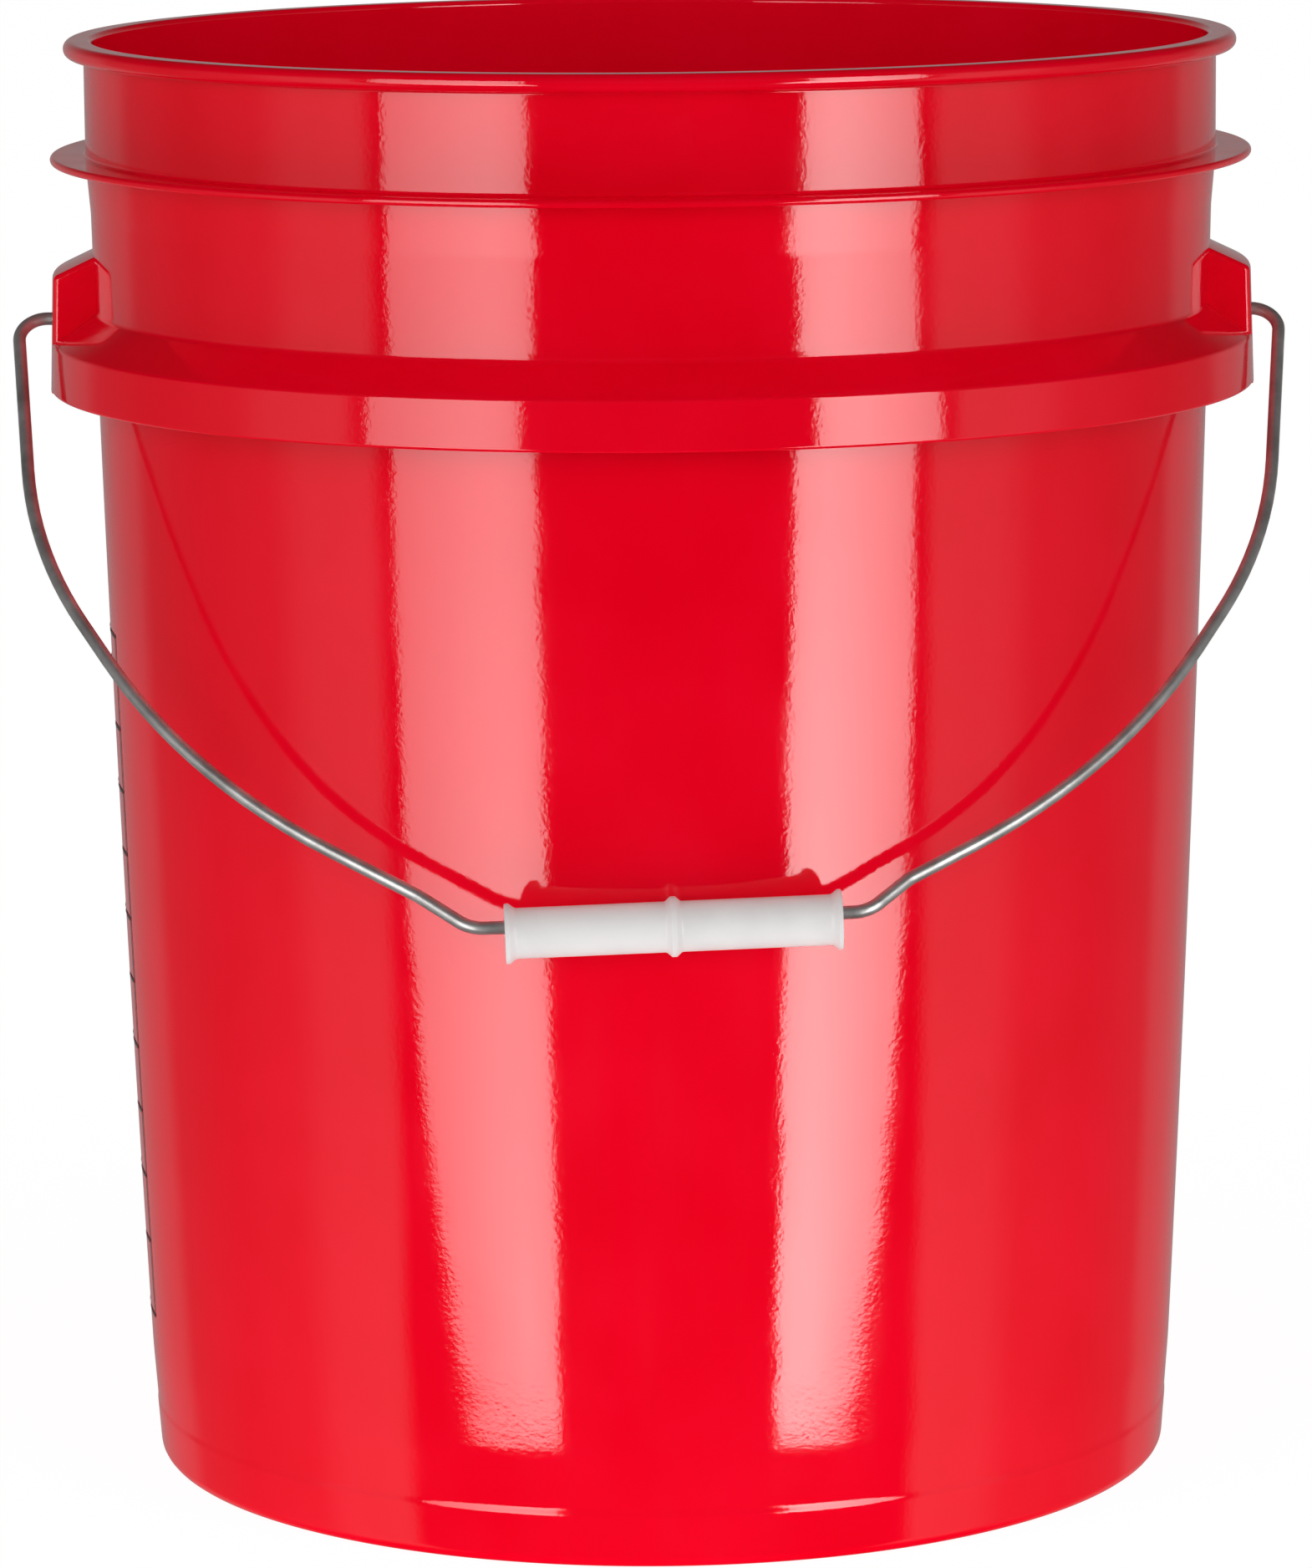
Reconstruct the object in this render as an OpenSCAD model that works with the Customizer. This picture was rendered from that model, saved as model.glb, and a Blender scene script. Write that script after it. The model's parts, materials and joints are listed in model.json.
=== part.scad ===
// Five-gallon wash bucket: injection-moulded pail with a rolled rim, a stacking
// ring, a bail ring with two hollow ears, a steel wire bail and a rolling grip.
// Millimetres. +Z is up and -Y is the front, where the bail rests on the wall.
// The origin is on the pail's axis, on the plane its foot stands on.

/* [Pail body] */
// Overall height, foot to top of rim
height = 373; // [300:1:460]
// Outside diameter of the rolled rim
rim_d = 302.6; // [260:0.2:370]
// Outside diameter at the foot
base_d = 266.6; // [215:0.2:285]
// Thickness of the moulded wall
wall_t = 2.3; // [1.8:0.1:3]
// How far the wall bows outside a straight taper
wall_bow = 0.75; // [0:0.05:2]
// Height above the foot where the bow is greatest
bow_z = 150; // [110:1:190]
// Height of the heel, where the wall turns in to the foot
heel_z = 22; // [12:1:34]
// How far the heel stands outside the foot
heel_out = 1.3; // [0.5:0.1:2.5]
// Edge radius round the foot
foot_fillet = 3.5; // [2:0.5:6]
// Width of the ring that the pail stands on
foot_w = 9; // [7:0.5:16]
// Thickness of the floor
floor_t = 2.6; // [2:0.1:4]
// How far the floor sits above the ground
floor_rise = 3; // [1.5:0.5:6]
// Radius inside, between floor and wall
floor_fillet = 6; // [3:0.5:10]

/* [Rim and stacking ring] */
// How far the rim overhangs the neck
rim_over = 5.2; // [4:0.1:8]
// Height of the rim bead
rim_h = 4.4; // [3.4:0.1:6]
// Edge radius inside the mouth
mouth_fillet = 1.4; // [0.6:0.1:2]
// Top of rim down to the middle of the stacking ring
ring_drop = 30.6; // [22:0.2:38]
// How far the stacking ring stands out from the neck
ring_w = 9.15; // [5:0.05:12]
// Thickness of the stacking ring
ring_t = 2; // [1.4:0.1:3]
// How far the wall steps in below the stacking ring
neck_step = 1.1; // [0:0.1:2]
// Height of that step
neck_step_h = 13; // [6:0.5:20]

/* [Bail ring] */
// Top of rim down to where the shoulder leaves the wall
shoulder_drop = 69.7; // [60:0.1:90]
// How far the outer band stands out from the wall at its top
band_out = 11.3; // [9:0.1:14]
// Fall of the shoulder, wall to band
shoulder_fall = 7.8; // [4:0.1:12]
// Height of the outer band
band_h = 12.7; // [9:0.1:22]
// How much wider the band is at its lower edge
band_flare = 0.4; // [0.1:0.1:1]
// Thickness of the shoulder and band
band_t = 2.4; // [1.8:0.1:3]
// Stiffening ribs under the shoulder
rib_count = 12; // [0:4:24]
// Thickness of a rib
rib_t = 2; // [1.2:0.1:3]

/* [Ears] */
// Width of an ear
ear_w = 43; // [34:1:56]
// Height of an ear's outer edge above the bail's pivot
ear_rise = 12.9; // [12:0.1:18]
// How much higher the ear's top is where it meets the wall
ear_slope = 5.1; // [3:0.1:8]
// Wall thickness of an ear
ear_t = 2.5; // [2:0.1:3.2]

/* [Bail] */
// Height of the bail's pivot above the band's upper edge
pivot_rise = 4.5; // [3:0.1:8]
// Diameter of the wire
wire_d = 3.3; // [2.6:0.1:4]
// Play round the wire in its hole and at the wall
wire_gap = 0.35; // [0.3:0.05:0.6]
// Gap from an ear's face out to the middle of the leg
leg_gap = 8.5; // [7:0.1:12]
// Bend radius at the top of each leg
leg_bend = 7; // [5:0.1:8]
// Length of the hooked tail inside an ear
tail_l = 7; // [5:0.5:7.5]
// Bend radius of the tail
tail_bend = 3.2; // [2.6:0.1:3.6]
// How far the bail has slid along its pivots, to the left
bail_slide = 0.8; // [0:0.1:1]
// Distance from pivot to the upper bend of the bow
knee_drop = 78.9; // [66:0.1:90]
// How far the upper bend stands inside the leg
knee_in = 7.6; // [4:0.1:10]
// Radius of the upper bend
knee_bend = 128; // [80:1:160]
// Height of the lower bend of the bow above the middle of the grip
elbow_rise = 45.7; // [40:0.1:58]
// How far the lower bend stands inside the upper bend
elbow_in = 41.4; // [34:0.1:46]
// Radius of the lower bend
elbow_bend = 175; // [80:1:176]
// Gap from each end of a centred grip out to the kink
kink_gap = 7.4; // [7:0.1:16]
// How far the run between the kinks lies to the right of the bail's middle
run_shift = 3.8; // [0:0.1:5]
// Length of each kink, sideways
kink_w = 11.5; // [11:0.1:20]
// How far the kinks' upper ends lie to the right of the bail's middle
kink_shift = 2.4; // [0:0.1:4]
// Depth of each kink
kink_h = 10.1; // [8:0.1:12]
// Slant of a line through the kinks' upper ends
kink_tilt = 1.8; // [0:0.1:3]
// Bend radius of a kink
kink_bend = 10; // [6:0.5:10]
// Distance from pivot to the wire inside the grip
bail_len = 197.9; // [185:0.1:230]
// Slant of the wire through the grip
grip_tilt = 2.5; // [0:0.1:3]

/* [Grip] */
// Length of the grip
grip_l = 82.2; // [66:0.2:110]
// Diameter of the grip
grip_d = 12.4; // [10:0.1:16]
// Height of the end flares and middle ridge above the grip
flare_h = 1.2; // [0.6:0.1:2]
// Width of the rim at each end flare
flare_w = 1; // [0.6:0.1:2]
// Width of the middle ridge
ridge_w = 1.2; // [0.8:0.1:3]
// Diameter of the hole through the grip
grip_bore_d = 8; // [5.4:0.1:9]
// How far the grip sits to the right of the middle of its run
grip_shift = 0.9; // [0:0.1:2.5]

/* [Printed scale] */
// Lowest edge of the printed frame
scale_lo = 39.5; // [34:0.5:60]
// Gap from the top of the printed frame up to the bail ring
scale_gap = 61.8; // [20:0.2:100]
// Front edge of the frame, degrees forward of the left ear
scale_front = 12; // [0:0.5:30]
// Width of the frame round the wall, in degrees
scale_sweep = 40; // [24:1:60]
// Width of a printed line
line_w = 1; // [0.6:0.1:2]
// Thickness of the ink
ink_t = 0.1; // [0.1:0.05:0.3]

/* [Hidden] */
$fn = 144;
eps = 0.01;
// How far cutting blocks run on past the pieces they cut.
beyond = 80;

// Radii that the rim, rings and wall share.
rim_r = rim_d / 2;
neck_r = rim_r - rim_over;
mouth_r = neck_r - wall_t;
base_r = base_d / 2;
heel_r = base_r + heel_out;
shoulder_z = height - shoulder_drop;
ring_z0 = height - ring_drop - ring_t / 2;
ring_z1 = ring_z0 + ring_t;
under_ring_r = neck_r - neck_step;
shoulder_r = under_ring_r - 0.5;
bow_r = heel_r + (shoulder_r - heel_r) * (bow_z - heel_z) / (shoulder_z - heel_z) + wall_bow;
lower_slope = (bow_r - heel_r) / (bow_z - heel_z);
upper_slope = (shoulder_r - bow_r) / (shoulder_z - bow_z);

// Outside radius of the wall between the heel and the shoulder.
function wall_r(z) = z < bow_z ? bow_r - lower_slope * (bow_z - z) : bow_r + upper_slope * (z - bow_z);

// Outer band, from its top edge to its lower edge.
band_z1 = shoulder_z - shoulder_fall;
band_z0 = band_z1 - band_h;
band_top_r = shoulder_r + band_out;
band_low_r = band_top_r + band_flare;
band_draft = band_flare / band_h;
scale_hi = band_z0 - scale_gap;

// Ears.
pivot_z = band_z1 + pivot_rise;
ear_z1 = pivot_z + ear_rise;
ear_top_r = band_low_r - band_draft * (ear_z1 - band_z0);
ear_pivot_r = band_low_r - band_draft * (pivot_z - band_z0);
ear_root_z = ear_z1 + ear_slope;
ear_in_r = shoulder_r - 14;
roof = ear_t * 1.1;

// Bail, drawn hanging straight down from its pivot.
wire_r = wire_d / 2;
hole_r = wire_r + wire_gap;
leg_x = ear_pivot_r + leg_gap;
knee_x = leg_x - knee_in;
elbow_x = knee_x - elbow_in;
tail_x = (shoulder_r + ear_pivot_r - ear_t) / 2 + 0.5;
run_half = grip_l / 2 + kink_gap;
kink_half = run_half + kink_w;
kink_drop = bail_len - kink_h;
elbow_drop = bail_len - elbow_rise;

// A bend is drawn a hair thicker than the straight wire, which runs a short way into it.
bend_swell = 0.02;
bend_lap = 0.3;

// Grip, which hangs on the wire by its loose bore, and the angle at which it comes to rest on the wall.
grip_r = grip_d / 2;
flare_r = grip_r + flare_h;
grip_sag = grip_bore_d / 2 - wire_r - wire_gap;
grip_reach = bail_len + grip_sag;
rest_reach = bow_r + upper_slope * (pivot_z - bow_z) + (flare_r + wire_gap) * norm([1, upper_slope]);
rest_angle = asin(rest_reach / grip_reach / norm([1, upper_slope])) - atan(upper_slope);

// Volume marks: height of the liquid for a volume in cubic millimetres.
floor_z = floor_rise + floor_t;
floor_r = wall_r(floor_z) - wall_t;
bow_in_r = bow_r - wall_t;
bow_v = PI / 3 / lower_slope * (pow(bow_in_r, 3) - pow(floor_r, 3));
function cone_h(v, r, k) = (pow(3 * k * v / PI + pow(r, 3), 1 / 3) - r) / k;
function level(v) = v < bow_v ? floor_z + cone_h(v, floor_r, lower_slope)
    : bow_z + cone_h(v - bow_v, bow_in_r, upper_slope);
litre = 1e6;
mark_count = 24;
mark_a = 5.5;
ink_seat = 0.05;

// ---- base ----

module base() {
    color([0.78, 0.02, 0.09])
    translate([0, 0, floor_rise])
    cylinder(h = floor_t, r = base_r - foot_w);
}

// ---- wall ----

// Section of the wall, with the foot ring it stands on.
module wall_section() {
    inner_foot = wall_r(floor_z) - wall_t;
    difference() {
        polygon([
            [base_r - foot_w, 0],
            [base_r - foot_fillet, 0],
            [base_r, foot_fillet],
            [heel_r, heel_z],
            [bow_r, bow_z],
            [shoulder_r, shoulder_z],
            [under_ring_r, ring_z0 - neck_step_h],
            [neck_r, ring_z0],
            [mouth_r, ring_z0],
            [under_ring_r - wall_t, ring_z0 - neck_step_h],
            [shoulder_r - wall_t, shoulder_z],
            [bow_r - wall_t, bow_z],
            [inner_foot + lower_slope * floor_fillet, floor_z + floor_fillet],
            [inner_foot + lower_slope * floor_fillet - floor_fillet, floor_z],
            [base_r - foot_w, floor_z]
        ]);
        translate([inner_foot + lower_slope * floor_fillet - floor_fillet, floor_z + floor_fillet])
        circle(r = floor_fillet);
    }
    // The foot's outer edge.
    intersection() {
        translate([base_r - foot_fillet, foot_fillet])
        circle(r = foot_fillet);
        translate([base_r - foot_fillet - eps, 0])
        square([foot_fillet + eps, foot_fillet]);
    }
}

module wall() {
    color([0.78, 0.02, 0.09])
    rotate_extrude()
    wall_section();
}

// ---- stacking ring ----

module stacking_ring() {
    edge_r = neck_r + ring_w - ring_t / 2;
    color([0.78, 0.02, 0.09])
    rotate_extrude()
    union() {
        translate([mouth_r, ring_z0])
        square([edge_r - mouth_r, ring_t]);
        translate([edge_r, ring_z0 + ring_t / 2])
        circle(r = ring_t / 2);
    }
}

// ---- rim ----

// Straight neck under a rounded bead.
module rim_section() {
    bead_r = rim_h / 2;
    translate([mouth_r, ring_z1])
    square([wall_t, height - rim_h - ring_z1 + eps]);
    translate([mouth_r, height - rim_h])
    square([rim_r - bead_r - mouth_r, rim_h - mouth_fillet]);
    translate([mouth_r + mouth_fillet, height - rim_h])
    square([rim_r - bead_r - mouth_r - mouth_fillet, rim_h]);
    translate([mouth_r + mouth_fillet, height - mouth_fillet])
    circle(r = mouth_fillet);
    translate([rim_r - bead_r, height - bead_r])
    circle(r = bead_r);
}

module rim() {
    color([0.78, 0.02, 0.09])
    rotate_extrude()
    rim_section();
}

// ---- bail ring ----

// Everything between the wall and the band's outer face.
module band_solid() {
    rotate_extrude()
    polygon([
        [wall_r(band_z0), band_z0],
        [band_low_r, band_z0],
        [band_top_r, band_z1],
        [shoulder_r, shoulder_z]
    ]);
}

// The hollow under the shoulder, open below.
module band_hollow() {
    low = wall_r(band_z0);
    drop = band_t + 0.6;
    rotate_extrude()
    polygon([
        [low - 1, band_z0 - 1],
        [band_low_r - band_t + band_draft, band_z0 - 1],
        [band_top_r - band_t + band_draft * drop, band_z1 - drop],
        [shoulder_r, shoulder_z - drop],
        [shoulder_r - 1, shoulder_z - drop]
    ]);
}

// Space outside the wall, so that ribs and ears end on it.
module outside_wall(z0, z1) {
    rotate_extrude()
    polygon([
        [wall_r(z0), z0],
        [wall_r(z0) + beyond, z0],
        [wall_r(z0) + beyond, z1],
        [under_ring_r, z1],
        [shoulder_r, shoulder_z]
    ]);
}

module ribs() {
    for (i = [0 : 1 : rib_count - 1]) {
        rotate([0, 0, (i + 0.5) * 360 / rib_count])
        translate([shoulder_r - 4, -rib_t / 2, band_z0 + 2])
        cube([band_out + 3, rib_t, band_h]);
    }
}

// An ear's outside: the band's face carried up to a sloping top.
module ear_solid() {
    intersection() {
        rotate_extrude()
        polygon([
            [ear_in_r - 6, band_z0],
            [band_low_r, band_z0],
            [ear_top_r, ear_z1],
            [shoulder_r, ear_root_z],
            [ear_in_r - 6, ear_root_z]
        ]);
        translate([ear_in_r, -ear_w / 2, band_z0 - 1])
        cube([beyond, ear_w, beyond]);
    }
}

module ear_hollow() {
    side = ear_w / 2 - ear_t;
    intersection() {
        rotate_extrude()
        polygon([
            [ear_in_r - 6, band_z0 - 1],
            [band_low_r - ear_t + band_draft, band_z0 - 1],
            [ear_top_r - ear_t, ear_z1 - roof],
            [shoulder_r, ear_root_z - roof],
            [ear_in_r - 6, ear_root_z - roof]
        ]);
        translate([ear_in_r, -side, band_z0 - 1])
        cube([beyond, side * 2, beyond]);
    }
}

module bail_ring() {
    color([0.78, 0.02, 0.09])
    intersection() {
        difference() {
            union() {
                difference() {
                    band_solid();
                    band_hollow();
                }
                intersection() {
                    ribs();
                    band_solid();
                }
                for (turn = [0, 180]) {
                    rotate([0, 0, turn])
                    ear_solid();
                }
            }
            for (turn = [0, 180]) {
                rotate([0, 0, turn])
                ear_hollow();
            }
            translate([0, 0, pivot_z])
            rotate([0, 90, 0])
            cylinder(h = 2 * leg_x, r = hole_r, center = true, $fn = 48);
        }
        outside_wall(band_z0, ear_root_z + 1);
    }
}

// ---- volume scale ----

// A block of space round the axis, between two heights and two bearings.
module sector(z0, z1, a0, a1) {
    rotate([0, 0, a0])
    rotate_extrude(angle = a1 - a0)
    translate([base_r / 2, z0])
    square([base_r, z1 - z0]);
}

// The printed area as a skin a hair off the wall.
module ink_skin(a0, a1) {
    under = ink_seat;
    over = ink_seat + ink_t;
    rotate([0, 0, a0])
    rotate_extrude(angle = a1 - a0)
    polygon([
        [wall_r(scale_lo) + under, scale_lo],
        [wall_r(scale_lo) + over, scale_lo],
        [bow_r + over, bow_z],
        [wall_r(scale_hi) + over, scale_hi],
        [wall_r(scale_hi) + under, scale_hi],
        [bow_r + under, bow_z]
    ]);
}

// A frame, with a mark at every litre and a longer one at every second.
module volume_scale() {
    front = 180 + scale_front;
    back = front - scale_sweep;
    line_a = line_w / bow_r * 180 / PI;
    color([0.2, 0.16, 0.16])
    difference() {
        ink_skin(back, front);
        difference() {
            sector(scale_lo + line_w, scale_hi - line_w, back + line_a, front - line_a);
            for (i = [1 : 1 : mark_count]) {
                z = level(i * litre);
                if (z > scale_lo + 3 * line_w && z < scale_hi - 3 * line_w) {
                    sector(z - line_w / 2, z + line_w / 2, front - mark_a * (i % 2 == 0 ? 2 : 1), front);
                }
            }
        }
    }
}

// ---- bail ----

function unit(v) = v / norm(v);
function turn_at(a, b, c) = acos(max(-1, min(1, unit(b - a) * unit(c - b))));
function cut_at(a, b, c, r) = r * tan(turn_at(a, b, c) / 2);

// Straight wire between two points in the XZ plane.
module wire_straight(a, b) {
    run = b - a;
    translate([a[0], 0, a[1]])
    rotate([0, atan2(run[0], run[1]), 0])
    cylinder(h = norm(run), r = wire_r, $fn = 24);
}

// Bent wire round corner b of the path a, b, c.
module wire_bend(a, b, c, r) {
    turn = turn_at(a, b, c);
    way_in = unit(b - a);
    way_out = unit(c - b);
    side = way_in[0] * way_out[1] - way_in[1] * way_out[0] > 0 ? 1 : -1;
    start = b - way_in * cut_at(a, b, c, r);
    centre = start + [-way_in[1], way_in[0]] * side * r;
    first = atan2(start[1] - centre[1], start[0] - centre[0]);
    translate([centre[0], 0, centre[1]])
    rotate([90, 0, 0])
    rotate([0, 0, side > 0 ? first : first - turn])
    rotate_extrude(angle = turn, $fn = r < 20 ? 48 : 144)
    translate([r, 0])
    circle(r = wire_r + bend_swell, $fn = 24);
}

function on_run(x) = [x * cos(grip_tilt), x * sin(grip_tilt) - bail_len];
function on_kinks(x) = [x, x * tan(kink_tilt) - kink_drop];

// Corners of the wire from one tail down to the lower bend of the bow, and the bend at each.
half_path = [
    [tail_x, tail_l],
    [tail_x, 0],
    [leg_x, 0],
    [knee_x, -knee_drop],
    [elbow_x, -elbow_drop]
];
half_bends = [tail_bend, leg_bend, knee_bend, elbow_bend];

// Corners of the two kinks, with the grip's run between them.
kink_path = [
    on_kinks(kink_shift - kink_half),
    on_run(run_shift - run_half),
    on_run(run_shift + run_half),
    on_kinks(kink_shift + kink_half)
];

// The whole wire, tail to tail.
path = concat(
    [for (p = half_path) [-p[0], p[1]]],
    kink_path,
    [for (i = [len(half_path) - 1 : -1 : 0]) half_path[i]]
);
bends = concat(
    half_bends,
    [for (p = kink_path) kink_bend],
    [for (i = [len(half_bends) - 1 : -1 : 0]) half_bends[i]]
);

// How much of the path each corner's bend takes up.
cuts = [for (i = [0 : len(path) - 1])
    i == 0 || i == len(path) - 1 ? 0 : cut_at(path[i - 1], path[i], path[i + 1], bends[i - 1])];

module wire() {
    for (i = [0 : len(path) - 2]) {
        way = unit(path[i + 1] - path[i]);
        from = path[i] + way * max(0, cuts[i] - bend_lap);
        to = path[i + 1] - way * max(0, cuts[i + 1] - bend_lap);
        wire_straight(from, to);
    }
    for (i = [1 : len(path) - 2]) {
        wire_bend(path[i - 1], path[i], path[i + 1], bends[i - 1]);
    }
}

// Swings its parts from hanging straight down to resting on the front.
module at_rest() {
    translate([-bail_slide, 0, pivot_z])
    rotate([-rest_angle, 0, 0])
    children();
}

module bail() {
    color([0.62, 0.62, 0.61])
    at_rest()
    wire();
}

// ---- grip ----

// Half section, from the middle ridge to one end.
module grip_section() {
    fillet = flare_h;
    from_x = ridge_w / 2 + fillet;
    to_x = grip_l / 2 - flare_w - fillet;
    difference() {
        translate([-grip_l / 2, grip_bore_d / 2])
        square([grip_l, flare_r - grip_bore_d / 2]);
        for (s = [0, 1]) {
            mirror([s, 0])
            union() {
                translate([from_x, grip_r])
                square([to_x - from_x, flare_h + 1]);
                translate([from_x, grip_r + fillet])
                circle(r = fillet, $fn = 32);
                translate([to_x, grip_r + fillet])
                circle(r = fillet, $fn = 32);
            }
        }
    }
}

module grip() {
    color([0.93, 0.93, 0.92])
    at_rest()
    translate([0, 0, -bail_len])
    rotate([0, -grip_tilt, 0])
    translate([run_shift + grip_shift, 0, -grip_sag])
    rotate([0, 90, 0])
    rotate_extrude($fn = 72)
    rotate([0, 0, -90])
    mirror([0, 1])
    mirror([1, 0])
    grip_section();
}

// ---- draw ----

base();
wall();
stacking_ring();
rim();
bail_ring();
volume_scale();
bail();
grip();
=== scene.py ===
import json
import math
import bpy
from mathutils import Matrix, Vector


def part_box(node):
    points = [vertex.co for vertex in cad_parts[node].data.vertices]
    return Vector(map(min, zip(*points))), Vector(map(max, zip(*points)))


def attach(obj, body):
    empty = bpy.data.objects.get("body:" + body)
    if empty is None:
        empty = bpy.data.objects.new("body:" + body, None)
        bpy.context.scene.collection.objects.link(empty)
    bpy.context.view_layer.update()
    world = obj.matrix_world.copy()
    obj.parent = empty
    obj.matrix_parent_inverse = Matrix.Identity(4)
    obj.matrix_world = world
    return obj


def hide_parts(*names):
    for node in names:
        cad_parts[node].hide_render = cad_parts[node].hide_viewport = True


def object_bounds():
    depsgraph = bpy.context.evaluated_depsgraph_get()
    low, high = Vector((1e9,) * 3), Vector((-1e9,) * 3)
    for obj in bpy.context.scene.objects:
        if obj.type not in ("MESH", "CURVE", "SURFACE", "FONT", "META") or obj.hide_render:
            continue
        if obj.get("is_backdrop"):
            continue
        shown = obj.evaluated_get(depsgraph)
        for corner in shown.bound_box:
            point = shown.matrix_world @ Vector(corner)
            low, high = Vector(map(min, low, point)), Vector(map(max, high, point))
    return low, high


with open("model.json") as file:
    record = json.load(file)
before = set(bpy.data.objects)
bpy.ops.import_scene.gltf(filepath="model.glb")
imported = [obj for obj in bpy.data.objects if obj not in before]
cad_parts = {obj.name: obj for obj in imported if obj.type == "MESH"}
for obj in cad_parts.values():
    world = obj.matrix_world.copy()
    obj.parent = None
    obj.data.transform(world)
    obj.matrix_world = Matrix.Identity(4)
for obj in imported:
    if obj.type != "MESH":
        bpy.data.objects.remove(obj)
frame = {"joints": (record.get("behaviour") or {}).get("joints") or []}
cad_low, cad_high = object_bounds()
joints = {j["name"]: j for j in frame["joints"]}

# ---- Camera ----
# A long lens just above the rim, in front of the pail and looking slightly down on it.

camera_data = bpy.data.cameras.new("camera")
camera_data.lens = 166.45
camera_data.sensor_width = 36
camera = bpy.data.objects.new("camera", camera_data)
bpy.context.scene.collection.objects.link(camera)
camera.matrix_world = (
    Matrix.Translation((0, -1.8801, 0.4978))
    @ Matrix.Rotation(math.radians(90 - 9.72), 4, "X")
    @ Matrix.Rotation(math.radians(-0.5016), 4, "Z")
)
bpy.context.scene.camera = camera
bpy.context.scene.view_settings.view_transform = "Standard"

# ---- Pail ----
# One injection moulding in red high-density polyethylene: a floor on a foot ring, a tapered wall that
# bows out slightly, a stacking ring, a straight neck and a rolled rim. All edges are moulded round, and a
# faint raised line runs round the heel where the mould's base plate ends.

MM = 0.001
wall_t = 2.3
pail_height = cad_high.z / MM
rim_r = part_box("rim")[1].x / MM
rim_low_z = pail_height - 4.4
neck_r = rim_r - 5.2
mouth_r = neck_r - wall_t
foot_r = 132.95
heel_r = 134.6
heel_z = 22
line_r = 134.0
line_z = 13.8
bow_r = 139.9
bow_z = 150
shoulder_r = 144.5
band_low_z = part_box("bail_ring")[0].z / MM
shoulder_z = band_low_z + 20.5
ring_low_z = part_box("stacking_ring")[0].z / MM
ring_top_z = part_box("stacking_ring")[1].z / MM
ring_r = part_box("stacking_ring")[1].x / MM
neck_low_r = neck_r - 1.1
neck_low_z = ring_low_z - 13
floor_low_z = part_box("base")[0].z / MM
floor_top_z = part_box("base")[1].z / MM
foot_inner_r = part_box("base")[1].x / MM


def linear(hex_colour):
    """An sRGB hex colour as linear red, green, blue and alpha."""
    values = [int(hex_colour[i:i + 2], 16) / 255 for i in (0, 2, 4)]
    return tuple(v / 12.92 if v <= 0.04045 else ((v + 0.055) / 1.055) ** 2.4 for v in values) + (1.0,)


def rounded(corners, closed=False, steps=6):
    """Outline points (r, z, normal r, normal z) through corners (r, z, radius), the solid on the left."""
    points = []
    count = len(corners)
    for i, corner in enumerate(corners):
        here = Vector(corner[:2])
        if not closed and i in (0, count - 1):
            other = Vector(corners[1 if i == 0 else count - 2][:2])
            along = (other - here if i == 0 else here - other).normalized()
            points.append((here.x, here.y, along.y, -along.x))
            continue
        before = Vector(corners[i - 1][:2])
        after = Vector(corners[(i + 1) % count][:2])
        way_in = (here - before).normalized()
        way_out = (after - here).normalized()
        turn = math.atan2(way_in.x * way_out.y - way_in.y * way_out.x, way_in.dot(way_out))
        cut = corner[2] * math.tan(abs(turn) / 2)
        side = 1 if turn > 0 else -1
        start = here - way_in * cut
        centre = start + Vector((-way_in.y, way_in.x)) * side * corner[2]
        parts = max(2, math.ceil(abs(turn) / (math.pi / 2) * steps))
        for k in range(parts + 1):
            angle = math.atan2(start.y - centre.y, start.x - centre.x) + turn * k / parts
            out = Vector((math.cos(angle), math.sin(angle)))
            at = centre + out * corner[2]
            points.append((at.x, at.y, out.x * side, out.y * side))
    return points


def wall_curve(low_z, top_z, inset=0, rows=28):
    """The wall's bowed outline between two heights, at a depth below its outer face."""
    points = []
    for k in range(rows + 1):
        z = low_z + (top_z - low_z) * k / rows
        a = (z - bow_z) * (z - shoulder_z) / ((heel_z - bow_z) * (heel_z - shoulder_z))
        b = (z - heel_z) * (z - shoulder_z) / ((bow_z - heel_z) * (bow_z - shoulder_z))
        c = (z - heel_z) * (z - bow_z) / ((shoulder_z - heel_z) * (shoulder_z - bow_z))
        points.append((heel_r * a + bow_r * b + shoulder_r * c - inset, z))
    return points


def with_normals(points):
    """Outline points with normals taken from their neighbours, the solid on the left."""
    out = []
    for i, p in enumerate(points):
        a = Vector(points[max(0, i - 1)])
        b = Vector(points[min(len(points) - 1, i + 1)])
        along = (b - a).normalized()
        out.append((p[0], p[1], along.y, -along.x))
    return out


def mesh_object(name, verts, faces, normals=None):
    """A smooth mesh object from points in millimetres, with the normals given for its points."""
    mesh = bpy.data.meshes.new(name)
    mesh.from_pydata([tuple(c * MM for c in v) for v in verts], [], faces)
    mesh.update()
    mesh.shade_smooth()
    if normals:
        mesh.normals_split_custom_set_from_vertices(normals)
    made = bpy.data.objects.new(name, mesh)
    bpy.context.scene.collection.objects.link(made)
    return made


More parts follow.
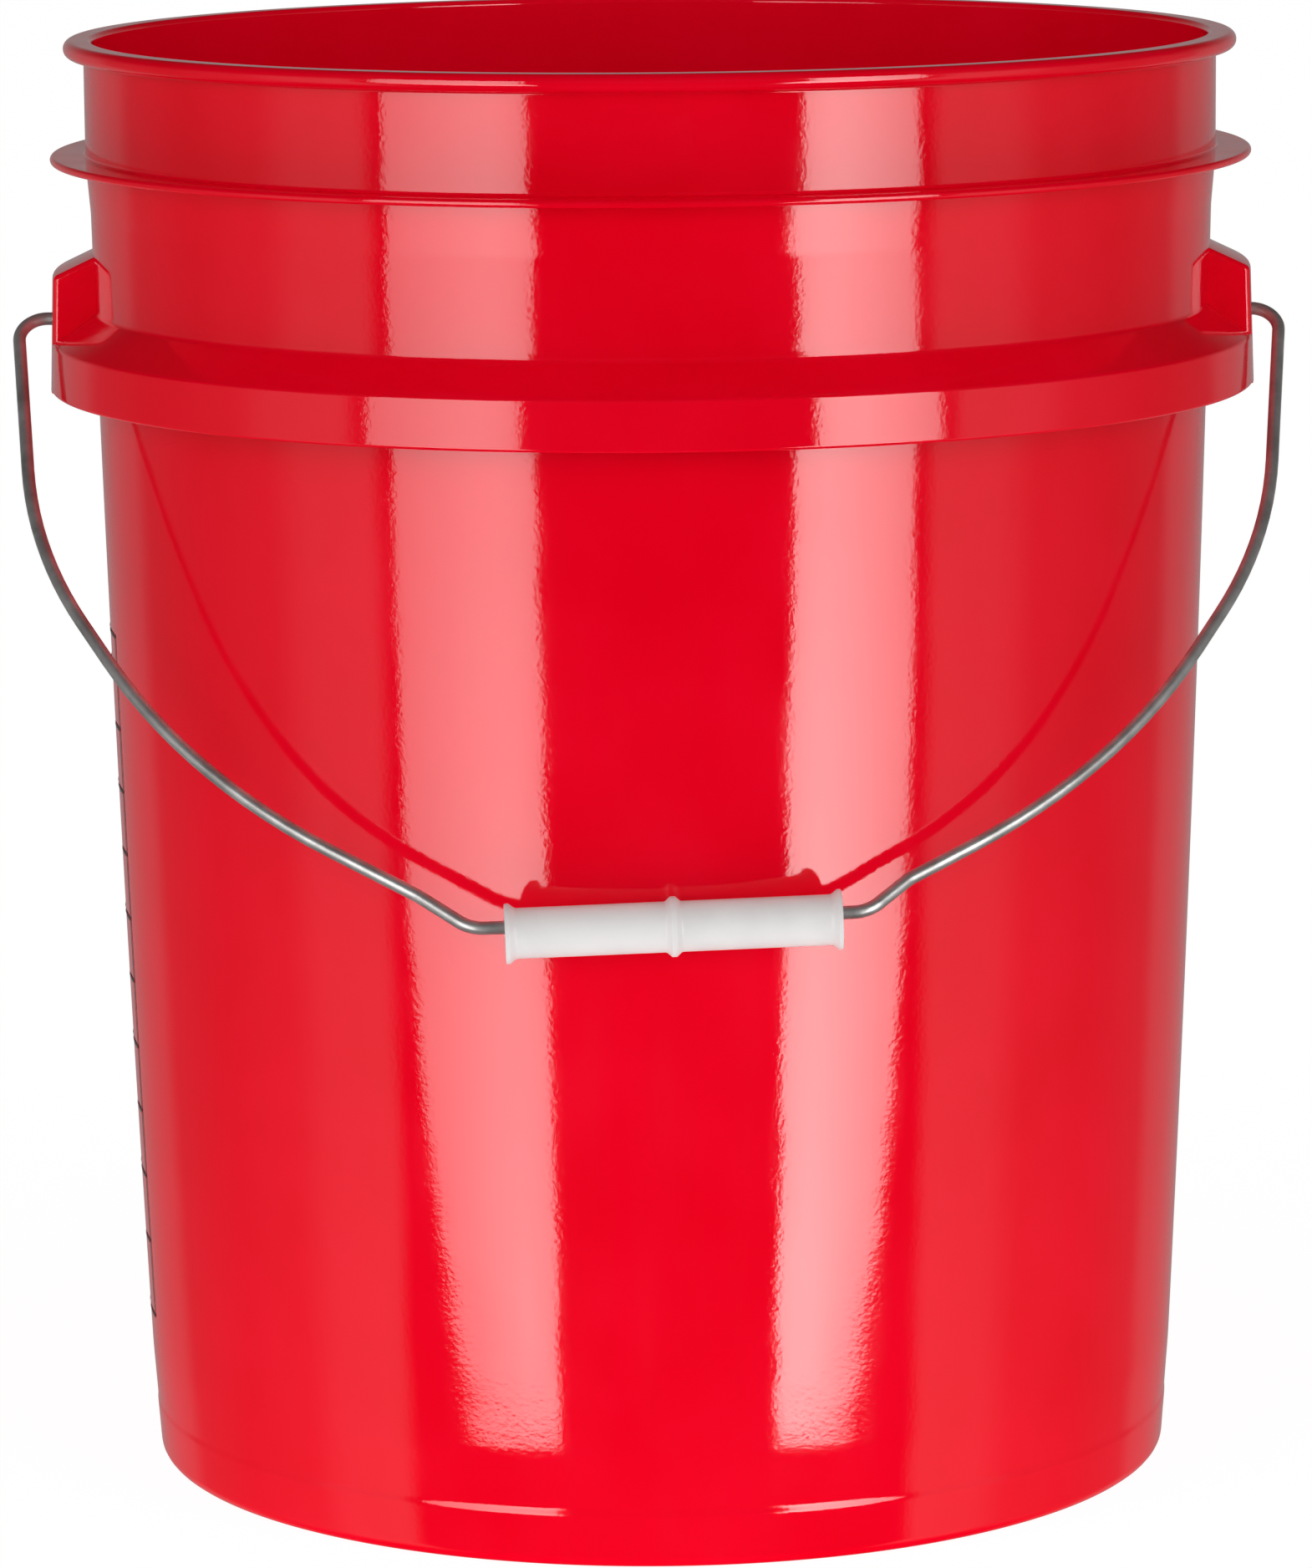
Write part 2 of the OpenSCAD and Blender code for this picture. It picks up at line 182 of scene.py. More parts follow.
def turned(outline, segments, first=0.0, last=360.0, closed=False):
    """Points, faces and normals of an outline turned about the pail's axis."""
    verts, normals, faces, rows = [], [], [], []
    full = last - first >= 360
    columns = segments if full else segments + 1
    for r, z, nr, nz in outline:
        if r == 0:
            rows.append([len(verts)] * columns)
            verts.append((0, 0, z))
            normals.append((0, 0, 1 if nz > 0 else -1))
            continue
        rows.append(list(range(len(verts), len(verts) + columns)))
        for j in range(columns):
            a = math.radians(first + (last - first) * j / segments)
            verts.append((r * math.cos(a), r * math.sin(a), z))
            normals.append((nr * math.cos(a), nr * math.sin(a), nz))
    pairs = list(zip(rows, rows[1:])) + ([(rows[-1], rows[0])] if closed else [])
    for low, high in pairs:
        for j in range(segments):
            k = (j + 1) % columns
            face = [low[j], low[k], high[k], high[j]]
            faces.append([v for n, v in enumerate(face) if v != face[n - 1]])
    if not full:
        faces.append([row[0] for row in rows])
        faces.append([row[-1] for row in reversed(rows)])
    return verts, faces, normals


foot = rounded([
    (0, floor_low_z, 0),
    (foot_inner_r, floor_low_z, 0.8),
    (foot_inner_r, 0, 0.8),
    (foot_r, 0, 3.5),
    (line_r, line_z, 7),
    (line_r - 0.1, line_z + 1.3, 8),
    wall_curve(heel_z + 7, shoulder_z)[0] + (150,),
    wall_curve(heel_z + 16, shoulder_z)[0] + (0,),
])[:-1]
outer_wall = with_normals(wall_curve(heel_z + 13, shoulder_z))
top = rounded([
    (shoulder_r, shoulder_z, 0),
    (neck_low_r, neck_low_z, 30),
    (neck_r, ring_low_z, 0.9),
    (ring_r, ring_low_z, 0.95),
    (ring_r, ring_top_z, 0.95),
    (neck_r, ring_top_z, 0.9),
    (neck_r, rim_low_z, 0.9),
    (rim_r, rim_low_z, 2.15),
    (rim_r, pail_height, 2.15),
    (mouth_r, pail_height, 1.4),
    (mouth_r, ring_low_z, 20),
    (neck_low_r - wall_t, neck_low_z, 30),
    (shoulder_r - wall_t, shoulder_z, 0),
], steps=8)[1:-1]
inner_wall = with_normals(wall_curve(floor_top_z + 8, shoulder_z, wall_t)[::-1])
floor_edge = wall_curve(floor_top_z, shoulder_z, wall_t)[0][0]
floor_top = rounded([
    (inner_wall[-1][0], inner_wall[-1][1], 0),
    (floor_edge, floor_top_z, 6),
    (0, floor_top_z, 0),
])[1:]
pail = mesh_object("pail_moulding", *turned(foot + outer_wall + top + inner_wall + floor_top, 400))


def add_node(tree, kind, links=None, stops=(), **settings):
    """Adds a node. Settings name its properties or, failing that, its inputs; links feed its inputs.

    Stops are the positions and colours of a colour ramp.
    """
    node = tree.nodes.new(kind)
    while stops and len(node.color_ramp.elements) < len(stops):
        node.color_ramp.elements.new(1.0)
    for number, (position, colour) in enumerate(stops):
        node.color_ramp.elements[number].position = position
        node.color_ramp.elements[number].color = colour
    for name, value in settings.items():
        if hasattr(node, name):
            setattr(node, name, value)
        else:
            node.inputs[name.replace("_", " ")].default_value = value
    for name, source in (links or {}).items():
        tree.links.new(source, node.inputs[name])
    return node


def new_material(name):
    """A material with an empty node tree."""
    made = bpy.data.materials.new(name)
    made.use_nodes = True
    made.node_tree.nodes.clear()
    return made


# Injection-moulded polyethylene: an even, deep red under a clear gloss. A ripple 45 mm long bends the
# reflections, flow clouds 33 mm across and upright streaks 6 mm wide vary the gloss a little, and the skin's
# grain, finer than this in the real piece, is drawn 1.1 mm coarse so that it shows.
hdpe = new_material("moulded_polyethylene_red")
tree = hdpe.node_tree
place = add_node(tree, "ShaderNodeTexCoord").outputs["Object"]
ripple = add_node(tree, "ShaderNodeTexNoise", {"Vector": place}, Scale=22.0, Detail=2.0)
skin = add_node(tree, "ShaderNodeTexNoise", {"Vector": place}, Scale=900.0, Detail=2.0)
stretch = add_node(tree, "ShaderNodeMapping", {"Vector": place}, Scale=(1.0, 1.0, 0.09))
streaks = add_node(tree, "ShaderNodeTexNoise", {"Vector": stretch.outputs["Vector"]}, Scale=160.0, Detail=5.0)
clouds = add_node(tree, "ShaderNodeTexNoise", {"Vector": place}, Scale=30.0, Detail=6.0)
gloss = add_node(tree, "ShaderNodeMath", {0: streaks.outputs["Fac"], 1: clouds.outputs["Fac"]},
                 operation="MULTIPLY")
rough = add_node(tree, "ShaderNodeMapRange", {"Value": gloss.outputs["Value"]},
                 From_Min=0.12, From_Max=0.42, To_Min=0.05, To_Max=0.09)
tone = add_node(tree, "ShaderNodeValToRGB", {"Fac": clouds.outputs["Fac"]},
                ((0.3, linear("EA001C")), (0.7, linear("F00123"))))
wave = add_node(tree, "ShaderNodeBump", {"Height": ripple.outputs["Fac"]}, Strength=0.06, Distance=0.004)
grain = add_node(tree, "ShaderNodeBump", {"Height": skin.outputs["Fac"], "Normal": wave.outputs["Normal"]},
                 Strength=0.04, Distance=0.0004)
shader = add_node(tree, "ShaderNodeBsdfPrincipled", {
    "Base Color": tone.outputs["Color"],
    "Roughness": rough.outputs["Result"],
    "Normal": grain.outputs["Normal"],
}, IOR=1.52)
add_node(tree, "ShaderNodeOutputMaterial", {"Surface": shader.outputs["BSDF"]})

pail.data.materials.append(hdpe)
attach(pail, "pail")
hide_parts("base", "wall", "stacking_ring", "rim")

# ---- Bail ring ----
# Part of the same moulding: a sloping shoulder and a deep outer band, hollow and ribbed below, that
# stiffen the pail where it hangs. It is made here in two arcs that end inside the ears' side walls.

ear_half = 21.5
band_top_z = shoulder_z - 7.8
band_top_r = shoulder_r + 11.3
band_low_r = band_top_r + 0.4
band_t = 2.4
shoulder_t = 3.0
rib_count = 12
rib_half = 0.38

band_outline = rounded([
    (shoulder_r - 1.2, shoulder_z - shoulder_t, 0),
    (shoulder_r, shoulder_z - shoulder_t, 0.3),
    (band_top_r - band_t, band_top_z - shoulder_t, 1.6),
    (band_low_r - band_t, band_low_z, 0.8),
    (band_low_r, band_low_z, 0.8),
    (band_top_r, band_top_z, 1.3),
    (shoulder_r + 0.06, shoulder_z + 0.1, 1.8),
    (shoulder_r, shoulder_z + 5, 0),
])
rib_outline = rounded([
    (shoulder_r - 1.6, band_low_z + 2, 0),
    (band_low_r - band_t + 0.4, band_low_z + 2, 0.1),
    (band_top_r - band_t + 0.4, band_top_z - 2.4, 0.1),
    (shoulder_r - 1.2, shoulder_z - 2.4, 0),
])
ear_turn = math.degrees(math.asin((ear_half - 1.2) / band_top_r))
arcs = [(band_outline, 220, side + ear_turn, side + 180 - ear_turn) for side in (0, 180)]
for k in range(rib_count):
    rib_turn = (k + 0.5) * 360 / rib_count
    arcs.append((rib_outline, 2, rib_turn - rib_half, rib_turn + rib_half))
verts, faces, normals = [], [], []
for outline, segments, first, last in arcs:
    v, f, n = turned(outline, segments, first, last, closed=True)
    faces += [[k + len(verts) for k in face] for face in f]
    verts += v
    normals += n
band = mesh_object("bail_ring_band", verts, faces, normals)
band.data.materials.append(hdpe)
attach(band, "pail")
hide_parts("bail_ring")

# ---- Ears ----
# Two hollow boxes on the bail ring, open below, moulded with it. Their outer faces run on from the band,
# their tops slope up to the wall, and each has a round hole that the bail turns in.

pivot = Vector(joints["bail_swing"]["pos_m"]) / MM
ear_top_z = pivot.z + 12.9
ear_root_z = ear_top_z + 5.1
ear_t = 2.5
hole_r = 2.0
hole_block = 4
band_draft = (band_low_r - band_top_r) / 12.7


def ear_face_r(z):
    """Radius of the ears' outer face, which runs on from the band."""
    return band_low_r - band_draft * (z - band_low_z)


def ear_skin(depth):
    """Grid and side corners of one skin of an ear, at a depth below its outside, as (point, normal) pairs."""
    edge = 1.4 if depth == 0 else 0.6
    half = ear_half - depth
    drop = depth * 1.1
    slope = (ear_root_z - ear_top_z) / (ear_face_r(ear_top_z) - shoulder_r)
    face_top = (ear_face_r(ear_top_z) - depth, ear_top_z - drop + slope * depth)
    outline = [(ear_face_r(z) - depth, z, 1.0, band_draft) for z in (band_low_z, band_low_z + 5)]
    outline += [(ear_face_r(pivot.z + k) - depth, pivot.z + k, 1.0, band_draft)
                for k in range(-hole_block, hole_block + 1)]
    outline += rounded([
        (ear_face_r(band_low_z) - depth, band_low_z, 0),
        (face_top[0], face_top[1], 1.8 - 0.4 * depth),
        (shoulder_r - 1.2, ear_root_z - drop + slope * 1.2, 0),
    ])[1:]
    turns = [math.radians(a) for a in (90, 72, 54, 36, 18, 0)]
    columns = [(-(half - edge + edge * math.sin(a)), a, -1) for a in turns]
    columns += [(y, 0, 1) for y in (-14, -9)]
    columns += [(k, 0, 1) for k in range(-hole_block, hole_block + 1)]
    columns += [(y, 0, 1) for y in (9, 14)]
    columns += [(half - edge + edge * math.sin(a), a, 1) for a in reversed(turns)]
    grid = []
    for r, z, nr, nz in outline:
        row = []
        for y, a, side in columns:
            inset = edge * (1 - math.cos(a))
            at = r - inset * nr
            x = math.sqrt(at * at - y * y)
            normal = Vector((nr * x / at, nr * y / at, nz)).normalized() * math.cos(a)
            row.append(((x, y, z - inset * nz), normal + Vector((0, side * math.sin(a), 0))))
        grid.append(row)
    inner_x = grid[-1][0][0][0]
    corners = [((inner_x, grid[0][j][0][1], band_low_z), Vector((0, side, 0)))
               for j, side in ((0, -1), (-1, 1))]
    return grid, corners


def ear_mesh(turn):
    """Points, faces and normals of one ear, turned round the pail's axis."""
    points, faces = [], []

    def add(point, normal):
        points.append((point, normal))
        return len(points) - 1

    rings = []
    for depth in (0, ear_t):
        sign = 1 if depth == 0 else -1
        grid, corners = ear_skin(depth)
        ids = [[add(p, n * sign) for p, n in row] for row in grid]
        low_row, low_column = 2, 8
        high_row, high_column = low_row + 2 * hole_block, low_column + 2 * hole_block
        for i in range(len(ids) - 1):
            for j in range(len(ids[0]) - 1):
                if low_row <= i < high_row and low_column <= j < high_column:
                    continue
                face = [ids[i][j], ids[i][j + 1], ids[i + 1][j + 1], ids[i + 1][j]]
                faces.append(face if sign == 1 else face[::-1])
        loop = [(low_row, j) for j in range(low_column, high_column)]
        loop += [(i, high_column) for i in range(low_row, high_row)]
        loop += [(high_row, j) for j in range(high_column, low_column, -1)]
        loop += [(i, low_column) for i in range(high_row, low_row, -1)]
        rim, ring = [], []
        for i, j in loop:
            (x, y, z), normal = grid[i][j]
            away = Vector((y, z - pivot.z)).normalized() * hole_r
            at = ear_face_r(pivot.z + away.y) - depth
            spot = (math.sqrt(at * at - away.x ** 2), away.x, pivot.z + away.y)
            rim.append(add(spot, normal * sign))
            ring.append(add(spot, Vector((0, -away.x, -away.y)).normalized()))
        count = len(loop)
        for k in range(count):
            (i, j), (m, n) = loop[k], loop[(k + 1) % count]
            face = [ids[i][j], ids[m][n], rim[(k + 1) % count], rim[k]]
            faces.append(face if sign == 1 else face[::-1])
        rings.append(ring)
        for j, corner, order in ((0, corners[0], 1), (-1, corners[1], -1)):
            side_face = [row[j] for row in ids] + [add(corner[0], corner[1] * sign)]
            faces.append(side_face[::order * sign])
        foot = [add(p, Vector((0, 0, -1))) for p in
                [corners[0][0]] + [p for p, n in grid[0]] + [corners[1][0]]]
        rings.append(foot)
    outer_ring, outer_foot, inner_ring, inner_foot = rings
    for k in range(len(outer_ring)):
        m = (k + 1) % len(outer_ring)
        faces.append([outer_ring[k], outer_ring[m], inner_ring[m], inner_ring[k]])
    for k in range(len(outer_foot) - 1):
        faces.append([outer_foot[k + 1], outer_foot[k], inner_foot[k], inner_foot[k + 1]])
    spin = Matrix.Rotation(turn, 3, "Z")
    return [spin @ Vector(p) for p, n in points], faces, [spin @ n for p, n in points]


for name, turn in (("right", 0), ("left", math.pi)):
    ear = mesh_object("ear_" + name, *ear_mesh(turn))
    ear.data.materials.append(hdpe)
    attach(ear, "pail")

# ---- Bail ----
# One length of drawn steel wire, zinc plated. Each end is hooked through an ear, the legs bow in to follow
# the pail, and a kink at each side of the grip keeps it on the middle.

grip_middle = Vector(joints["grip_spin"]["pos_m"]) / MM
grip_axis = Vector(joints["grip_spin"]["axis"]).normalized()
rest = math.atan2(pivot.y - grip_middle.y, pivot.z - grip_middle.z)
hang = 197.9
slide = 0.8
wire_r = 1.65
leg_x = ear_face_r(pivot.z) + 8.5
knee_x = leg_x - 7.6
elbow_x = knee_x - 41.4
tail_x = (shoulder_r + ear_face_r(pivot.z) - ear_t) / 2 + 0.5
run_slant = math.radians(2.5)
run_middle = 3.8
run_half = 48.5
kink_slant = math.radians(1.8)
kink_middle = 2.4
kink_half = 60
kink_rise = 10.1
kink_bend = 10

half_bail = [
    (tail_x, 7, 0),
    (tail_x, 0, 3.2),
    (leg_x, 0, 7),
    (knee_x, -78.9, 128),
    (elbow_x, 45.7 - hang, 175),
]
run = [(x * math.cos(run_slant), x * math.sin(run_slant) - hang, kink_bend)
       for x in (run_middle - run_half, run_middle + run_half)]
kinks = [(x, x * math.tan(kink_slant) + kink_rise - hang, kink_bend)
         for x in (kink_middle - kink_half, kink_middle + kink_half)]
left_leg = [(-x, z, bend) for x, z, bend in half_bail]
route = rounded(left_leg + [kinks[0]] + run + [kinks[1]] + half_bail[::-1], steps=40)


def drawn_wire(points, radius, around=24):
    """A round wire along a flat route of (x, z, normal x, normal z), with softly cut ends."""
    verts, normals, faces = [], [], []
    bevel = 0.4
    no_end = Vector((0, 0))
    first, last = Vector(points[0][:2]), Vector(points[-1][:2])
    into = (Vector(points[1][:2]) - first).normalized()
    out = (last - Vector(points[-2][:2])).normalized()
    stations = [(first, points[0][2:], radius - bevel, -into)]
    stations += [(first + into * bevel, points[0][2:], radius, no_end)]
    stations += [(Vector(p[:2]), p[2:], radius, no_end) for p in points[1:-1]]
    stations += [(last - out * bevel, points[-1][2:], radius, no_end)]
    stations += [(last, points[-1][2:], radius - bevel, out)]
    for at, side, size, end in stations:
        for k in range(around):
            a = 2 * math.pi * k / around
            off = Vector((side[0] * math.cos(a), math.sin(a), side[1] * math.cos(a)))
            verts.append(Vector((at.x, 0, at.y)) + off * size)
            normals.append((off + Vector((end.x, 0, end.y))).normalized())
    for i in range(len(stations) - 1):
        for k in range(around):
            m = (k + 1) % around
            faces.append([i * around + k, i * around + m, (i + 1) * around + m, (i + 1) * around + k])
    faces.append(list(range(around))[::-1])
    faces.append([len(verts) - around + k for k in range(around)])
    return verts, faces, normals


swing = Matrix.Rotation(-rest, 3, "X")
verts, faces, normals = drawn_wire(route, wire_r)
hinge = pivot - Vector((slide, 0, 0))
bail = mesh_object("bail_wire", [swing @ v + hinge for v in verts], faces, [swing @ n for n in normals])

# Drawn steel, zinc plated: pale grey and half dull, with darker and rougher patches 8 mm across. The die's
# marks, finer than this in the real piece, are drawn 1.1 mm coarse so that they show.
zinc = new_material("drawn_steel_zinc_plated")
tree = zinc.node_tree
place = add_node(tree, "ShaderNodeTexCoord").outputs["Object"]
patches = add_node(tree, "ShaderNodeTexNoise", {"Vector": place}, Scale=120.0, Detail=6.0)
fine = add_node(tree, "ShaderNodeTexNoise", {"Vector": place}, Scale=900.0, Detail=3.0)
tone = add_node(tree, "ShaderNodeValToRGB", {"Fac": patches.outputs["Fac"]},
                ((0.32, linear("9C9A98")), (0.68, linear("C9C8C6"))))
dull = add_node(tree, "ShaderNodeMapRange", {"Value": patches.outputs["Fac"]}, To_Min=0.45, To_Max=0.28)
bump = add_node(tree, "ShaderNodeBump", {"Height": fine.outputs["Fac"]}, Strength=0.12, Distance=0.0002)
shader = add_node(tree, "ShaderNodeBsdfPrincipled", {
    "Base Color": tone.outputs["Color"],
    "Roughness": dull.outputs["Result"],
    "Normal": bump.outputs["Normal"],
}, Metallic=0.7)
add_node(tree, "ShaderNodeOutputMaterial", {"Surface": shader.outputs["BSDF"]})

bail.data.materials.append(zinc)
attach(bail, "bail")
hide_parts("bail")

# ---- Grip ----
# A white polyethylene roller, moulded with a flare at each end and a ridge round its middle. It hangs and
# turns freely on the wire by its loose bore.

grip_half = 41.1
grip_r = 6.2
flare_r = 7.4
grip_bore_r = 4.0
half_grip = [
    (grip_bore_r, grip_half, 0.4),
    (flare_r, grip_half, 0.45),
    (flare_r, grip_half - 1.05, 0.35),
    (grip_r, grip_half - 2.6, 1.6),
    (grip_r, 1.9, 1.0),
    (flare_r, 0.6, 0.35),
]
grip_outline = rounded([(r, -z, c) for r, z, c in half_grip] + half_grip[::-1], closed=True)
verts, faces, normals = turned(grip_outline, 96, closed=True)
grip = mesh_object("grip_roller", verts, faces, normals)
along_wire = grip_axis.to_track_quat("Z", "Y").to_matrix().to_4x4()
grip.matrix_world = Matrix.Translation(grip_middle * MM) @ along_wire

# Moulded white polyethylene: satin, with faint grey handling marks 14 mm across. The skin's grain, finer
# than this in the real piece, is drawn 1.4 mm coarse so that it shows.
white = new_material("moulded_polyethylene_white")
tree = white.node_tree
place = add_node(tree, "ShaderNodeTexCoord").outputs["Object"]
marks = add_node(tree, "ShaderNodeTexNoise", {"Vector": place}, Scale=70.0, Detail=5.0)
skin = add_node(tree, "ShaderNodeTexNoise", {"Vector": place}, Scale=700.0, Detail=3.0)
tone = add_node(tree, "ShaderNodeValToRGB", {"Fac": marks.outputs["Fac"]},
                ((0.3, linear("DFDDDC")), (0.6, linear("E7E5E4"))))
bump = add_node(tree, "ShaderNodeBump", {"Height": skin.outputs["Fac"]}, Strength=0.08, Distance=0.0003)
shader = add_node(tree, "ShaderNodeBsdfPrincipled", {
    "Base Color": tone.outputs["Color"],
    "Normal": bump.outputs["Normal"],
}, Roughness=0.38, IOR=1.5)
add_node(tree, "ShaderNodeOutputMaterial", {"Surface": shader.outputs["BSDF"]})

grip.data.materials.append(white)
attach(grip, "grip")
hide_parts("grip")

# ---- Volume scale ----
# A frame, litre marks and even numerals, pad printed on the wall in dark ink beside the left ear.

scale_low_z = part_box("volume_scale")[0].z / MM
scale_top_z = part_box("volume_scale")[1].z / MM
scale_front = 192
scale_back = 152
line_w = 1.0
ink_out = 0.13
wall_slope = 0.035
long_mark = 11
short_mark = 5.5
numeral_gap = 1.4
numeral_size = 13
most_litres = 24


def wall_out_r(z):
    """Radius of the wall's outer face at a height."""
    return wall_curve(z, z + 1, rows=1)[0][0]


def liquid_level(litres):
    """Height of the surface when the pail holds that many litres."""
    z, volume, step = floor_top_z, 0.0, 0.5
    while volume < litres * 1e6:
        volume += math.pi * (wall_out_r(z + step / 2) - wall_t) ** 2 * step
        z += step
    return z


def ink_patch(z0, z1, a0, a1, ink):
    """Adds a rectangle of ink on the wall to lists of points, faces and normals."""
    verts, faces, normals = ink
    rows = max(1, math.ceil((z1 - z0) / 6))
    columns = max(1, math.ceil((a1 - a0) / 0.9))
    base = len(verts)
    for i in range(rows + 1):
        z = z0 + (z1 - z0) * i / rows
        for j in range(columns + 1):
            a = math.radians(a0 + (a1 - a0) * j / columns)
            r = wall_out_r(z) + ink_out
            verts.append((r * math.cos(a), r * math.sin(a), z))
            normals.append((math.cos(a), math.sin(a), -wall_slope))
    for i in range(rows):
        for j in range(columns):
            k = base + i * (columns + 1) + j
            faces.append([k, k + 1, k + columns + 2, k + columns + 1])


ink = ([], [], [])
line_a = math.degrees(line_w / bow_r)
ink_patch(scale_low_z, scale_top_z, scale_front - line_a, scale_front, ink)
ink_patch(scale_low_z, scale_top_z, scale_back, scale_back + line_a, ink)
for z in (scale_low_z, scale_top_z - line_w):
    ink_patch(z, z + line_w, scale_back + line_a, scale_front - line_a, ink)
for litres in range(1, most_litres + 1):
    z = liquid_level(litres)
    if scale_low_z + 3 * line_w < z < scale_top_z - 3 * line_w:
        sweep = long_mark if litres % 2 == 0 else short_mark
        ink_patch(z - line_w / 2, z + line_w / 2, scale_front - sweep, scale_front - line_a, ink)
        if litres % 2 == 0:
            numeral = bpy.data.curves.new("numeral", "FONT")
            numeral.body = str(litres)
            numeral.size = numeral_size
            numeral.align_x = "RIGHT"
            numeral.align_y = "CENTER"
            holder = bpy.data.objects.new("numeral", numeral)
            shape = bpy.data.meshes.new_from_object(holder)
            base = len(ink[0])
            for v in shape.vertices:
                height = z + v.co.y
                r = wall_out_r(height) + ink_out
                a = math.radians(scale_front - long_mark - numeral_gap) + v.co.x / bow_r
                ink[0].append((r * math.cos(a), r * math.sin(a), height))
                ink[2].append((math.cos(a), math.sin(a), -wall_slope))
            ink[1].extend([base + k for k in face.vertices] for face in shape.polygons)
            bpy.data.objects.remove(holder)
scale = mesh_object("volume_scale_print", *ink)

# Pad-printed ink: near black and semi-matt, worn thin so that the red shows through in specks 1.4 mm across.
print_ink = new_material("pad_printed_ink")
tree = print_ink.node_tree
place = add_node(tree, "ShaderNodeTexCoord").outputs["Object"]
specks = add_node(tree, "ShaderNodeTexNoise", {"Vector": place}, Scale=700.0, Detail=4.0)
tone = add_node(tree, "ShaderNodeValToRGB", {"Fac": specks.outputs["Fac"]},
                ((0.3, linear("5A1C22")), (0.48, linear("35292B"))))
shader = add_node(tree, "ShaderNodeBsdfPrincipled", {"Base Color": tone.outputs["Color"]},
                  Roughness=0.4, IOR=1.5)
add_node(tree, "ShaderNodeOutputMaterial", {"Surface": shader.outputs["BSDF"]})

scale.data.materials.append(print_ink)
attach(scale, "pail")
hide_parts("volume_scale")

# ---- Studio ----
# A plain white floor, an even surround of soft light, and a tall softbox at each side of the camera whose
# long reflections show the gloss of the wall.

floor_half = 30
floor_mesh = bpy.data.meshes.new("floor")
floor_mesh.from_pydata([(x * floor_half, y * floor_half, 0) for x, y in ((-1, -1), (1, -1), (1, 1), (-1, 1))],
                       [], [[0, 1, 2, 3]])
floor = bpy.data.objects.new("floor", floor_mesh)
bpy.context.scene.collection.objects.link(floor)

# White backdrop paper: matt, with faint waves 150 mm long where it lies unevenly. Lamps below it are stood
# in for by a glow, which is brightest round the pail.
paper = new_material("white_paper")
tree = paper.node_tree
waves = add_node(tree, "ShaderNodeTexNoise", Scale=400.0, Detail=3.0)
bump = add_node(tree, "ShaderNodeBump", {"Height": waves.outputs["Fac"]}, Strength=0.05, Distance=0.0005)
spot = add_node(tree, "ShaderNodeVectorMath", {0: add_node(tree, "ShaderNodeTexCoord").outputs["Object"]},
                operation="DISTANCE")
spot.inputs[1].default_value = (0, -0.2, 0)
pool = add_node(tree, "ShaderNodeMapRange", {"Value": spot.outputs["Value"]}, interpolation_type="SMOOTHSTEP",
                From_Min=0.2, From_Max=1.0, To_Min=1.12, To_Max=0.27)
seen = add_node(tree, "ShaderNodeLightPath").outputs["Is Camera Ray"]
lit = add_node(tree, "ShaderNodeMix", {"Factor": seen, "A": pool.outputs["Result"]},
               data_type="FLOAT", B=0.94)
shader = add_node(tree, "ShaderNodeBsdfPrincipled", {
    "Normal": bump.outputs["Normal"],
    "Emission Strength": lit.outputs["Result"],
}, Roughness=0.9, Base_Color=(0.16, 0.16, 0.16, 1), Emission_Color=(1, 1, 1, 1))
add_node(tree, "ShaderNodeOutputMaterial", {"Surface": shader.outputs["BSDF"]})
paper.cycles.emission_sampling = "NONE"
floor.data.materials.append(paper)
floor.visible_glossy = False
floor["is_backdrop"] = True

world = bpy.data.worlds.new("studio")
world.use_nodes = True
bpy.context.scene.world = world
world.cycles.sampling_method = "NONE"
tree = world.node_tree
tree.nodes.clear()
outward = add_node(tree, "ShaderNodeTexCoord").outputs["Generated"]
direction = add_node(tree, "ShaderNodeSeparateXYZ", {0: outward})
ray = add_node(tree, "ShaderNodeLightPath")

# What lights the surfaces: bright round the horizon, dimmer overhead, a little brighter in front.
soft_height = add_node(tree, "ShaderNodeMapRange", {"Value": direction.outputs["Z"]},
                       interpolation_type="SMOOTHSTEP", From_Min=0.15, From_Max=0.8, To_Min=1.0, To_Max=0.22)
soft_front = add_node(tree, "ShaderNodeMapRange", {"Value": direction.outputs["Y"]},
                      interpolation_type="SMOOTHSTEP", From_Min=-0.6, From_Max=0.55, To_Min=1.6, To_Max=0.35)
soft_light = add_node(tree, "ShaderNodeMath", {
    0: soft_height.outputs["Result"],
    1: soft_front.outputs["Result"],
}, operation="MULTIPLY")

# What the gloss shows, by bearing in degrees from the front: dark between and beside the softboxes, pale
# walls at the sides and a dim backdrop behind. It fades towards the ceiling and the floor.
to_side = add_node(tree, "ShaderNodeMath", {0: direction.outputs["X"]}, operation="ABSOLUTE")
to_front = add_node(tree, "ShaderNodeMath", {0: direction.outputs["Y"]}, operation="MULTIPLY")
to_front.inputs[1].default_value = -1
bearing = add_node(tree, "ShaderNodeMath", {0: to_side.outputs["Value"], 1: to_front.outputs["Value"]},
                   operation="ARCTAN2")
turn = add_node(tree, "ShaderNodeMath", {0: bearing.outputs["Value"]}, operation="DIVIDE")
turn.inputs[1].default_value = math.pi
greys = ((56, 0.0), (61, 0.6), (73, 0.52), (88, 0.2), (108, 0.12), (129, 0.13), (138, 0.26), (180, 0.3))
walls = add_node(tree, "ShaderNodeValToRGB", {"Fac": turn.outputs["Value"]},
                 [(degrees / 180, (grey, grey, grey, 1)) for degrees, grey in greys])
walls.color_ramp.interpolation = "EASE"
above = add_node(tree, "ShaderNodeMapRange", {"Value": direction.outputs["Z"]},
                 interpolation_type="SMOOTHSTEP", From_Min=0.0, From_Max=0.4, To_Min=1.0, To_Max=0.05)
